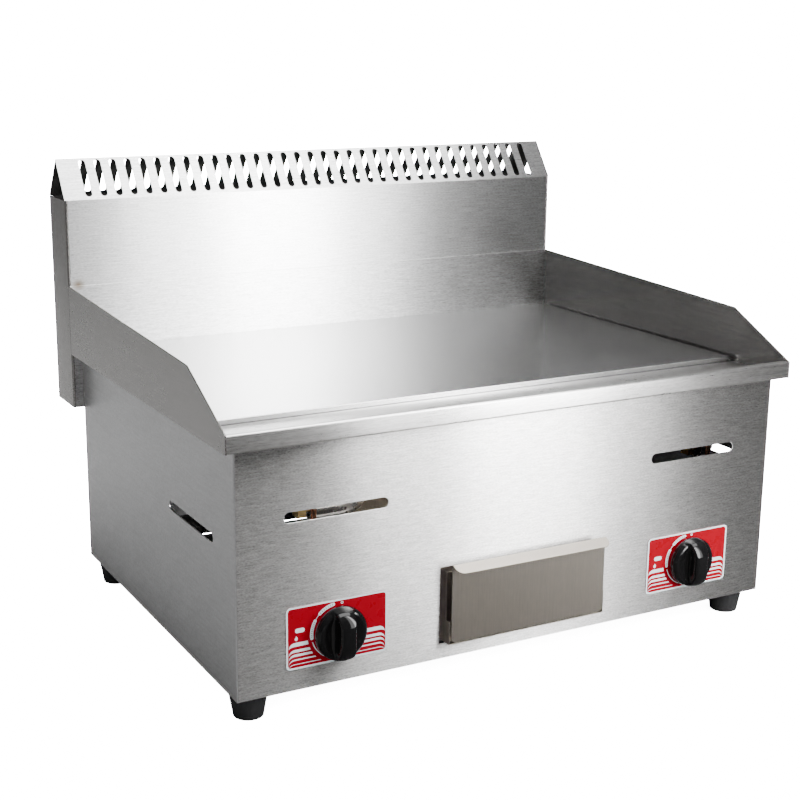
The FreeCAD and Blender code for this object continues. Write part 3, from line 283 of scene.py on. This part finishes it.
def add_world():
    """Dim room round the griddle, paler behind it and overhead, on a white background."""
    world = bpy.data.worlds.new("studio")
    SCENE.world = world
    world.use_nodes = True
    tree = world.node_tree
    tree.nodes.clear()

    def add(kind, **settings):
        node = tree.nodes.new(kind)
        for key, value in settings.items():
            setattr(node, key, value)
        return node

    direction = add("ShaderNodeTexCoord")
    split = add("ShaderNodeSeparateXYZ")
    tree.links.new(direction.outputs["Generated"], split.inputs[0])

    # the angle from the front, growing to the right, as a place from 0 to 1 on a ramp
    flip = add("ShaderNodeMath", operation="MULTIPLY")
    flip.inputs[1].default_value = -1.0
    tree.links.new(split.outputs["Y"], flip.inputs[0])
    azimuth = add("ShaderNodeMath", operation="ARCTAN2")
    tree.links.new(split.outputs["X"], azimuth.inputs[0])
    tree.links.new(flip.outputs[0], azimuth.inputs[1])
    turn = add("ShaderNodeMapRange")
    turn.inputs["From Min"].default_value = -math.pi
    turn.inputs["From Max"].default_value = math.pi
    tree.links.new(azimuth.outputs[0], turn.inputs["Value"])
    around = add("ShaderNodeValToRGB")
    around.color_ramp.interpolation = "EASE"
    # (angle in degrees, brightness of the room); the ramp's own two stops come first
    stops = [(-180, 0.34), (180, 0.34), (-165, 0.32), (-156, 0.18), (-140, 0.07), (-90, 0.10),
             (-45, 0.08), (0, 0.14), (45, 0.12), (90, 0.12), (140, 0.20)]
    ramp = around.color_ramp.elements
    for i, (angle, level) in enumerate(stops):
        place = (angle + 180) / 360
        element = ramp[i] if i < 2 else ramp.new(place)
        element.position = place
        element.color = (level, level, level, 1)
    tree.links.new(turn.outputs[0], around.inputs[0])

    # overhead the room grows brighter with the height of the direction
    side_height = 0.45
    top_height = 0.95
    top_level = 0.6
    lift = add("ShaderNodeMapRange")
    lift.inputs["From Min"].default_value = side_height
    lift.inputs["From Max"].default_value = top_height
    lift.inputs["To Max"].default_value = top_level
    tree.links.new(split.outputs["Z"], lift.inputs["Value"])
    total = add("ShaderNodeMix", data_type="RGBA", blend_type="ADD")
    total.inputs[0].default_value = 1.0
    tree.links.new(around.outputs[0], total.inputs[6])
    tree.links.new(lift.outputs[0], total.inputs[7])

    room = add("ShaderNodeBackground")
    tree.links.new(total.outputs[2], room.inputs["Color"])
    paper = add("ShaderNodeBackground")
    paper.inputs["Color"].default_value = (1, 1, 1, 1)
    paper.inputs["Strength"].default_value = PAPER
    path = add("ShaderNodeLightPath")
    mix = add("ShaderNodeMixShader")
    tree.links.new(path.outputs["Is Camera Ray"], mix.inputs[0])
    tree.links.new(room.outputs[0], mix.inputs[1])
    tree.links.new(paper.outputs[0], mix.inputs[2])
    output = add("ShaderNodeOutputWorld")
    tree.links.new(mix.outputs[0], output.inputs[0])


# ---- finishes -----------------------------------------------------------------------
# the values of a noise that a range starts and ends at
NOISE_SPAN = (0.3, 0.7)


def steel(name, tone, grain, roughness, marks=(120.0, 1100.0), spread=0.9, depth=6e-6,
          contrast=0.10, wave=2e-4, stains_and_shadows=()):
    """Brushed stainless steel.

    grain is the letter of the brush marks' direction and marks their frequency along and
    across it, per metre. spread is how far a highlight is drawn out across them, depth
    their depth and wave that of the sheet's slow unevenness, in metres. Each mark laid
    over the grain is (centre, size, colour); real stains and painted shadows are both
    given this way.
    """
    shader = Shader(name)
    along, across = marks
    # short brush marks, longer and wider streaks, and the two together
    short = tuple(along if letter == grain else across for letter in "xyz")
    long = tuple(0.15 * along if letter == grain else 0.6 * across for letter in "xyz")
    fibres = shader.noise(short, detail=2.0, roughness=0.6)
    streaks = shader.noise(long, detail=3.0)
    brushed = shader.maths("ADD", shader.maths("MULTIPLY", fibres, 0.55),
                           shader.maths("MULTIPLY", streaks, 0.45))
    dark = tuple(c * (1 - contrast) for c in tone)
    light = tuple(min(1.0, c * (1 + contrast)) for c in tone)
    colour = shader.blend(shader.ranged(brushed, *NOISE_SPAN), dark, light)
    for centre, size, spot_colour in stains_and_shadows:
        colour = shader.blend(shader.near(centre, size), colour, spot_colour)
    # a smear that varies slowly, and the marks' own small part in the roughness
    clouds = shader.noise((9.0, 9.0, 9.0), detail=5.0, roughness=0.65)
    smear = shader.ranged(clouds, *NOISE_SPAN, -0.008, 0.012)
    rough = shader.ranged(brushed, *NOISE_SPAN, roughness - 0.012, roughness + 0.016)
    shader.set(Base_Color=colour, Metallic=1.0, Anisotropic=spread,
               Roughness=shader.maths("ADD", rough, smear))
    slow = shader.noise((3.2, 3.2, 3.2), detail=1.0)
    shader.bump(brushed, depth, under=shader.bump(slow, wave))
    shader.across(grain)
    return shader.material


def mottled(name, tone, metallic, roughness, grain=60.0, depth=1e-5, gloss=0.5, change=0.2):
    """A cast, moulded, plated or painted finish.

    grain is the frequency of its clouds, per metre, change how much darker the darkest of
    them is, and depth that of its fine pitting, in metres.
    """
    shader = Shader(name)
    cloud = shader.noise((grain, grain, grain), detail=4.0)
    dark = tuple(c * (1 - change) for c in tone)
    rough = shader.ranged(cloud, *NOISE_SPAN, 0.8 * roughness, 1.2 * roughness)
    shader.set(Base_Color=shader.blend(cloud, dark, tone), Metallic=metallic,
               Specular_IOR_Level=gloss, Roughness=rough)
    pitting = 15 * grain
    shader.bump(shader.noise((pitting, pitting, pitting)), depth)
    return shader.material


# ---- pieces taken over from the CAD -------------------------------------------------
def piece(name, mesh, like, *materials):
    """A new piece with the given materials, riding the same body as a CAD node."""
    for material in materials:
        mesh.materials.append(material)
    made = bpy.data.objects.new(name, mesh)
    SCENE.collection.objects.link(made)
    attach(made, NODES[like].parent.name.split(":", 1)[1])
    return made


def dress(node, material, edge=0.3, lining=None, inward=0):
    """The CAD node's shape with merged flat faces, edges rounded by so many mm and a
    smooth finish. Faces that look inward along y (+1 or -1) get a second material, which
    paints the shade inside."""
    same_point = 1e-6
    same_plane = math.radians(0.4)
    sharp = math.radians(32)
    facing = 0.2
    source = NODES[node].data
    bm = bmesh.new()
    corners = [bm.verts.new(v.co) for v in source.vertices]
    for polygon in source.polygons:
        bm.faces.new([corners[i] for i in polygon.vertices]).smooth = True
    bmesh.ops.remove_doubles(bm, verts=bm.verts, dist=same_point)
    bmesh.ops.dissolve_limit(bm, angle_limit=same_plane, verts=bm.verts, edges=bm.edges)
    mesh = bpy.data.meshes.new(node + "_skin")
    bm.to_mesh(mesh)
    bm.free()
    if lining:
        for polygon in mesh.polygons:
            polygon.material_index = int(polygon.normal.y * inward > facing)
    materials = [material, lining] if lining else [material]
    made = piece(node + "_skin", mesh, node, *materials)
    rounding = made.modifiers.new("edges", "BEVEL")
    rounding.width = edge * MM
    rounding.segments = 2
    rounding.limit_method = "ANGLE"
    rounding.angle_limit = sharp
    rounding.harden_normals = True
    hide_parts(node)


def paint(material, *nodes):
    """The CAD nodes keep their shape and get this material."""
    for name in nodes:
        mesh = NODES[name].data
        mesh.materials.clear()
        mesh.materials.append(material)


def add_sheets():
    """The brushed sheets that show. The letter after each tone is the grain's direction."""
    # painted shade: a near-black finish on the sheets' inner faces stands in for the shade
    # inside the cabinet and the flue
    inner_shade = mottled("dark_lining", (0.035, 0.034, 0.033), 0.4, 0.6)
    front = steel("front_steel", (0.60, 0.592, 0.585), "x", 0.31, marks=(350.0, 1100.0),
                  spread=1.0, contrast=0.42, depth=1e-5)
    dress("front_panel", front, edge=0.42, lining=inner_shade, inward=1)
    dress("rear_panel", front, edge=0.42, lining=inner_shade, inward=-1)

    # the flue, with a heat mark at its left end
    heat_mark = ((-0.352, 0.23, 0.393), (0.012, 0.02, 0.010), (0.30, 0.25, 0.20))
    flue = steel("flue_steel", (0.62, 0.62, 0.62), "x", 0.30, spread=1.0,
                 marks=(250.0, 1000.0), contrast=0.36, stains_and_shadows=[heat_mark])
    dress("flue_front_sheet", flue, lining=inner_shade, inward=1)
    dress("flue_rear_sheet", flue, lining=inner_shade, inward=-1)
    dress("rear_splash_guard", flue)

    side = steel("side_steel", (0.58, 0.58, 0.585), "y", 0.38, marks=(200.0, 700.0),
                 spread=0.5, contrast=0.10, depth=2e-6)
    for node in ("left_side_panel", "right_side_panel"):
        dress(node, side)
    # painted shade: the guards and flue ends get a darker copy of the steel tone, and the
    # right splash guard a darker one still
    guard = steel("guard_steel", (0.34, 0.33, 0.322), "y", 0.26, marks=(150.0, 800.0),
                  spread=0.6, contrast=0.12, depth=1e-6)
    for node in ("left_splash_guard", "flue_left_end", "flue_right_end"):
        dress(node, guard)
    shaded = steel("shaded_steel", (0.28, 0.273, 0.267), "y", 0.22, marks=(150.0, 800.0),
                   spread=0.5, contrast=0.12, depth=1e-6)
    dress("right_splash_guard", shaded)

    # the tray, with a line of painted shadow along the plate's lower front edge
    plate_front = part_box("griddle_plate")[0]
    plate_gap_shadow = ((0.0, plate_front.y, plate_front.z), (3.0, 0.0045, 0.004), (0.05, 0.045, 0.042))
    tray = steel("tray_steel", (0.62, 0.612, 0.605), "x", 0.28, marks=(120.0, 900.0),
                 contrast=0.25, depth=3e-6, stains_and_shadows=[plate_gap_shadow])
    dress("top_tray", tray)
    plate = steel("plate_steel", (0.60, 0.60, 0.60), "x", 0.24, marks=(90.0, 500.0),
                  spread=0.3, contrast=0.015, depth=1e-7, wave=1e-5)
    dress("griddle_plate", plate)
    drawer = steel("drawer_steel", (0.46, 0.42, 0.37), "z", 0.40, marks=(70.0, 900.0),
                   spread=0.4, contrast=0.07, depth=2e-6)
    dress("drawer_front", drawer)
    dress("drawer_box", drawer, edge=0.2)


def add_inner_pieces():
    """Pieces inside the cabinet, small fasteners and the feet."""
    paint(mottled("galvanised", (0.22, 0.22, 0.22), 0.9, 0.5), "base_panel", "flue_base",
          "left_drawer_runner", "right_drawer_runner", "burner_front_rail",
          "burner_rear_rail", "burner_straps", "manifold_brackets", "drain_spout")
    paint(mottled("burner_steel", (0.86, 0.82, 0.76), 1.0, 0.26), "left_burner",
          "right_burner")
    paint(mottled("zinc", (0.70, 0.70, 0.70), 1.0, 0.3), "rear_panel_screws", "flue_screws",
          "foot_bolts", "foot_nuts", "valve_cap_screws", "left_spindle_spring",
          "right_spindle_spring")
    paint(mottled("brass", (0.66, 0.49, 0.22), 1.0, 0.3), "left_valve_body",
          "right_valve_body", "left_valve_plug", "right_valve_plug", "left_valve_cap",
          "right_valve_cap", "left_injector", "right_injector", "valve_nipples",
          "gas_inlet_fitting", "gas_inlet_locknut", "left_spindle", "right_spindle")
    paint(mottled("gas_pipe", (0.10, 0.10, 0.10), 0.6, 0.5), "gas_manifold", "gas_feed_pipe")
    paint(mottled("copper", (0.72, 0.34, 0.20), 1.0, 0.25), "left_gas_tube",
          "right_gas_tube")
    rubber = mottled("foot_rubber", (0.016, 0.016, 0.017), 0.0, 0.5, grain=120.0)
    for node in ("front_left_foot", "front_right_foot", "rear_left_foot", "rear_right_foot"):
        dress(node, rubber, edge=0.5)


# ---- knobs --------------------------------------------------------------------------
# in mm: radii from the knob's axis and heights in front of the panel
KNOB_RADIUS = 29.8
KNOB_BACK = 6.8
KNOB_FRONT = 31.0

# (radius, height) over the dished skirt, from the middle to the rim
SKIRT = [(0, KNOB_BACK + 7.0), (17.3, KNOB_BACK + 7.0), (20.8, KNOB_BACK + 8.2),
         (23.4, KNOB_BACK + 9.2), (24.8, KNOB_BACK + 9.4), (26.8, KNOB_BACK + 8.7),
         (28.8, KNOB_BACK + 6.8), (29.6, KNOB_BACK + 5.4), (29.8, KNOB_BACK + 4.4)]

# (distance to the side, height) over the grip bar, from its middle down its flank
GRIP = [(0, KNOB_FRONT), (5.0, KNOB_FRONT - 0.15), (7.4, KNOB_FRONT - 1.2), (8.7, 28.4),
        (9.4, 25.0), (9.8, 20.5), (11.2, 16.6), (14.0, 12.8), (15.0, 9.0)]

# (radius, height) under the skirt, from the rim over the hub to the bore's closed end
UNDERSIDE = [(29.8, KNOB_BACK + 1.0), (29.2, KNOB_BACK), (27.4, KNOB_BACK),
             (27.4, KNOB_BACK + 4.4), (9.0, KNOB_BACK + 4.4), (9.0, KNOB_BACK + 1.0),
             (4.05, KNOB_BACK + 1.0), (4.05, KNOB_BACK + 15.0), (0.0, KNOB_BACK + 15.0)]


def on_panel(side):
    """Turns mm round that side's knob axis and off the panel's face into metres."""
    low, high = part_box(side + "_knob")
    centre = (low + high) / 2
    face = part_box("front_panel")[0].y
    return Matrix.Translation((centre.x, face, centre.z)) @ Matrix.Scale(MM, 4)


def stepped(table, value):
    """Linear interpolation in a table of (value, result) pairs."""
    if value <= table[0][0]:
        return table[0][1]
    for (a, at_a), (b, at_b) in zip(table, table[1:]):
        if value <= b:
            return at_a + (at_b - at_a) * (value - a) / (b - a)
    return table[-1][1]


def soft_max(a, b, width):
    """The larger of two heights, with the corner between them rounded over width."""
    h = max(width - abs(a - b), 0.0) / width
    return max(a, b) + h * h * width / 4


def soft_min(a, b, width):
    """The smaller of two heights, rounded in the same way."""
    return -soft_max(-a, -b, width)


def knob_height(x, z):
    """Height of the knob's face in front of the panel, in mm from its axis."""
    r = math.hypot(x, z)
    bulge = 2.4
    dome_start = KNOB_BACK + 3.0
    inside = max(0.0, 1 - (r / (KNOB_RADIUS - 0.3)) ** bulge)
    dome = dome_start + (KNOB_FRONT - dome_start) * inside ** (1 / bulge)
    grip = soft_min(stepped(GRIP, abs(x)), dome, 1.0)
    return min(KNOB_FRONT, soft_max(stepped(SKIRT, r), grip, 0.8))


def add_knob(side, material):
    """Knob with a dished skirt and a domed grip bar, as a fine mesh round its axis."""
    turns = 240
    face_rings = 110
    smooth_to = math.radians(50)

    # (radius, height) of each ring; a ring on the face follows its changing height
    rings = [(KNOB_RADIUS * i / face_rings, None) for i in range(1, face_rings + 1)]
    rings += UNDERSIDE[:-1]
    bm = bmesh.new()
    made = []
    for r, height in rings:
        ring = []
        for j in range(turns):
            angle = 2 * math.pi * j / turns
            x = r * math.cos(angle)
            z = r * math.sin(angle)
            y = knob_height(x, z) if height is None else height
            ring.append(bm.verts.new((x, -y, z)))
        made.append(ring)
    tip = bm.verts.new((0, -knob_height(0, 0), 0))
    end = bm.verts.new((0, -UNDERSIDE[-1][1], 0))
    for j in range(turns):
        k = (j + 1) % turns
        bm.faces.new((tip, made[0][j], made[0][k]))
        bm.faces.new((end, made[-1][k], made[-1][j]))
        for inner, outer in zip(made, made[1:]):
            bm.faces.new((inner[j], outer[j], outer[k], inner[k]))
    for face in bm.faces:
        face.smooth = True
    bmesh.ops.recalc_face_normals(bm, faces=bm.faces)
    bmesh.ops.transform(bm, verts=bm.verts, matrix=on_panel(side))
    mesh = bpy.data.meshes.new(side + "_knob_body")
    bm.to_mesh(mesh)
    bm.free()
    mesh.set_sharp_from_angle(angle=smooth_to)
    knob = piece(side + "_knob_body", mesh, side + "_knob", material)
    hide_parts(side + "_knob")


# ---- dial plates --------------------------------------------------------------------
# in mm round the knob's axis
DIAL_HALF_WIDTH = 60.0
DIAL_HALF_HEIGHT = 35.0
BORDER = 2.1                  # width of the pale line round the plate's edge
RING_RADIUS = 30.4            # middle of the ring of marks round the knob
STRIPES_CLEAR = 35.3          # radius round the knob where the side stripes start
STRIPES_END = 57.0            # how far to each side they reach

# heights of the plate's face and of the two layers printed on it, off the panel
PLATE = 0.7
INK = 0.76
INK_ON_INK = 0.8


def arc(cx, cz, radius, start, end, steps=10):
    """Points on an arc, in degrees counterclockwise from the right."""
    angles = [math.radians(start + (end - start) * i / steps) for i in range(steps + 1)]
    return [(cx + radius * math.cos(a), cz + radius * math.sin(a)) for a in angles]


def rounded_box(x0, x1, z0, z1, radius):
    """Outline of an upright box with round corners."""
    return (arc(x1 - radius, z1 - radius, radius, 0, 90)
            + arc(x0 + radius, z1 - radius, radius, 90, 180)
            + arc(x0 + radius, z0 + radius, radius, 180, 270)
            + arc(x1 - radius, z0 + radius, radius, 270, 360))


def disc(cx, cz, radius, steps):
    """Outline of a circle."""
    return arc(cx, cz, radius, 0, 360, steps)[:-1]


def band(width, start, end):
    """Arc-shaped bar with round ends in the ring of marks, in degrees from the top."""
    a = start + 90
    b = end + 90
    half = width / 2
    first, last = arc(0, 0, RING_RADIUS, a, b, steps=1)
    return (arc(0, 0, RING_RADIUS + half, a, b, 24) + arc(*last, half, b, b + 180, 8)
            + arc(0, 0, RING_RADIUS - half, b, a, 24) + arc(*first, half, a + 180, a + 360, 8))


def stripe(way, top, thickness):
    """Bar from the ring round the knob to the left (-1) or right (1) edge of the plate,
    where it curves down."""
    turn = 7.0
    lowest = 2.0 - DIAL_HALF_HEIGHT
    steps = 10
    low = top - thickness
    start_top = way * math.sqrt(STRIPES_CLEAR ** 2 - top ** 2)
    start_low = way * math.sqrt(STRIPES_CLEAR ** 2 - low ** 2)
    bend = way * (STRIPES_END - turn)
    drop = min(turn, top - lowest)
    slim = max(drop - thickness, 0.2)
    angles = [math.radians(90 * i / steps) for i in range(steps + 1)]
    outer = [(bend + way * turn * math.sin(t), top - drop * (1 - math.cos(t)))
             for t in angles]
    inner = [(bend + way * turn * math.sin(t), low - slim * (1 - math.cos(t)))
             for t in angles[::-1]]
    return [(start_top, top)] + outer + inner[1:] + [(start_low, low)]


def flame(x, z, size):
    """Small flame symbol."""
    outline = [(0.0, 1.0), (0.28, 0.55), (0.55, 0.2), (0.62, -0.25), (0.4, -0.7), (0.0, -0.9),
               (-0.4, -0.7), (-0.62, -0.25), (-0.5, 0.1), (-0.25, 0.3), (-0.12, 0.65)]
    return [(x + size * u, z + size * v) for u, v in outline]


def ticks(length, start, end, count):
    """Short radial marks set evenly between two angles from the top, in the ring."""
    half = 0.3
    marks = []
    for i in range(count):
        a = math.radians(start + (end - start) * i / (count - 1) + 90)
        out = Vector((math.cos(a), math.sin(a)))
        side = Vector((-out.y, out.x)) * half
        inner = out * (RING_RADIUS - length / 2)
        outer = out * (RING_RADIUS + length / 2)
        marks.append([inner - side, inner + side, outer + side, outer - side])
    return marks


def add_prism(bm, loops, back, front, slot):
    """A flat solid from an outline and its holes, between two heights off the panel."""
    flat = [[Vector((x, z, 0)) for x, z in loop] for loop in loops]
    points = [p for loop in flat for p in loop]
    near = [bm.verts.new((p.x, -front, p.y)) for p in points]
    far = [bm.verts.new((p.x, -back, p.y)) for p in points]
    faces = []
    for a, b, c in tessellate_polygon(flat):
        faces.append(bm.faces.new((near[a], near[b], near[c])))
        faces.append(bm.faces.new((far[c], far[b], far[a])))
    first = 0
    for loop in loops:
        count = len(loop)
        for i in range(count):
            a = first + i
            b = first + (i + 1) % count
            faces.append(bm.faces.new((near[a], far[a], far[b], near[b])))
        first += count
    for face in faces:
        face.material_index = slot
    bmesh.ops.recalc_face_normals(bm, faces=faces)


def plate_outline(inset, radius):
    """Outline of the dial plate, drawn in by inset, with corners of that radius."""
    wide = DIAL_HALF_WIDTH - inset
    high = DIAL_HALF_HEIGHT - inset
    return rounded_box(-wide, wide, -high, high, radius)


def pale_marks():
    """Outline and holes of each pale mark printed on the plate."""
    marks = [[plate_outline(0.0, 5.0), plate_outline(BORDER, 3.4)[::-1]]]
    # the ring of marks: (width, first angle, last angle)
    for bar in ((3.8, 9, 43), (0.7, 45, 58), (3.8, 60, 97), (1.2, 106, 160)):
        marks.append([band(*bar)])
    # a rounded label and a flame to the left, and a small ring at the off position
    marks.append([rounded_box(-49.5, -38.5, 5.6, 10.6, 2.4)])
    marks.append([flame(-48.3, -0.4, 3.0)])
    marks.append([disc(5.4, 30.4, 1.5, 24), disc(5.4, 30.4, 0.9, 24)[::-1]])
    # the side stripes, thinner towards the bottom: (top, thickness)
    for bar in ((-5.0, 4.3), (-12.8, 3.0), (-18.0, 2.6), (-23.6, 1.5), (-29.0, 0.8)):
        marks.append([stripe(-1, *bar)])
        marks.append([stripe(1, *bar)])
    return marks


def add_dial(side, *colours):
    """Printed dial plate. The colours are those of the field, the marks on it and the
    small marks on top of those."""
    hole_radius = 7.0
    hole = disc(0, 0, hole_radius, 40)[::-1]
    bm = bmesh.new()
    add_prism(bm, [plate_outline(0.0, 5.0), hole], 0.0, PLATE, 0)
    for loops in pale_marks():
        add_prism(bm, loops, PLATE, INK, 1)
    for tick in ticks(2.2, 11, 41, 7) + ticks(1.6, 63, 94, 9):
        add_prism(bm, [tick], INK, INK_ON_INK, 2)
    bmesh.ops.transform(bm, verts=bm.verts, matrix=on_panel(side))
    mesh = bpy.data.meshes.new(side + "_dial_print")
    bm.to_mesh(mesh)
    bm.free()
    dial = piece(side + "_dial_print", mesh, side + "_dial_plate", *colours)
    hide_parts(side + "_dial_plate")


def add_controls():
    """Black knobs in front of red and white dial plates."""
    black = mottled("knob_black", (0.004, 0.004, 0.0042), 0.0, 0.07, grain=40.0, depth=5e-7,
                    gloss=0.22)
    red = mottled("dial_red", (0.19, 0.0, 0.006), 0.0, 0.30, grain=90.0, depth=2e-7,
                  gloss=0.1, change=0.02)
    white = mottled("dial_white", (0.52, 0.60, 0.62), 0.0, 0.35, grain=90.0, depth=2e-7,
                    gloss=0.2, change=0.04)
    for side in ("left", "right"):
        add_knob(side, black)
        add_dial(side, red, white, black)


add_camera()
add_floor()
add_world()
add_lights()
add_sheets()
add_inner_pieces()
add_controls()
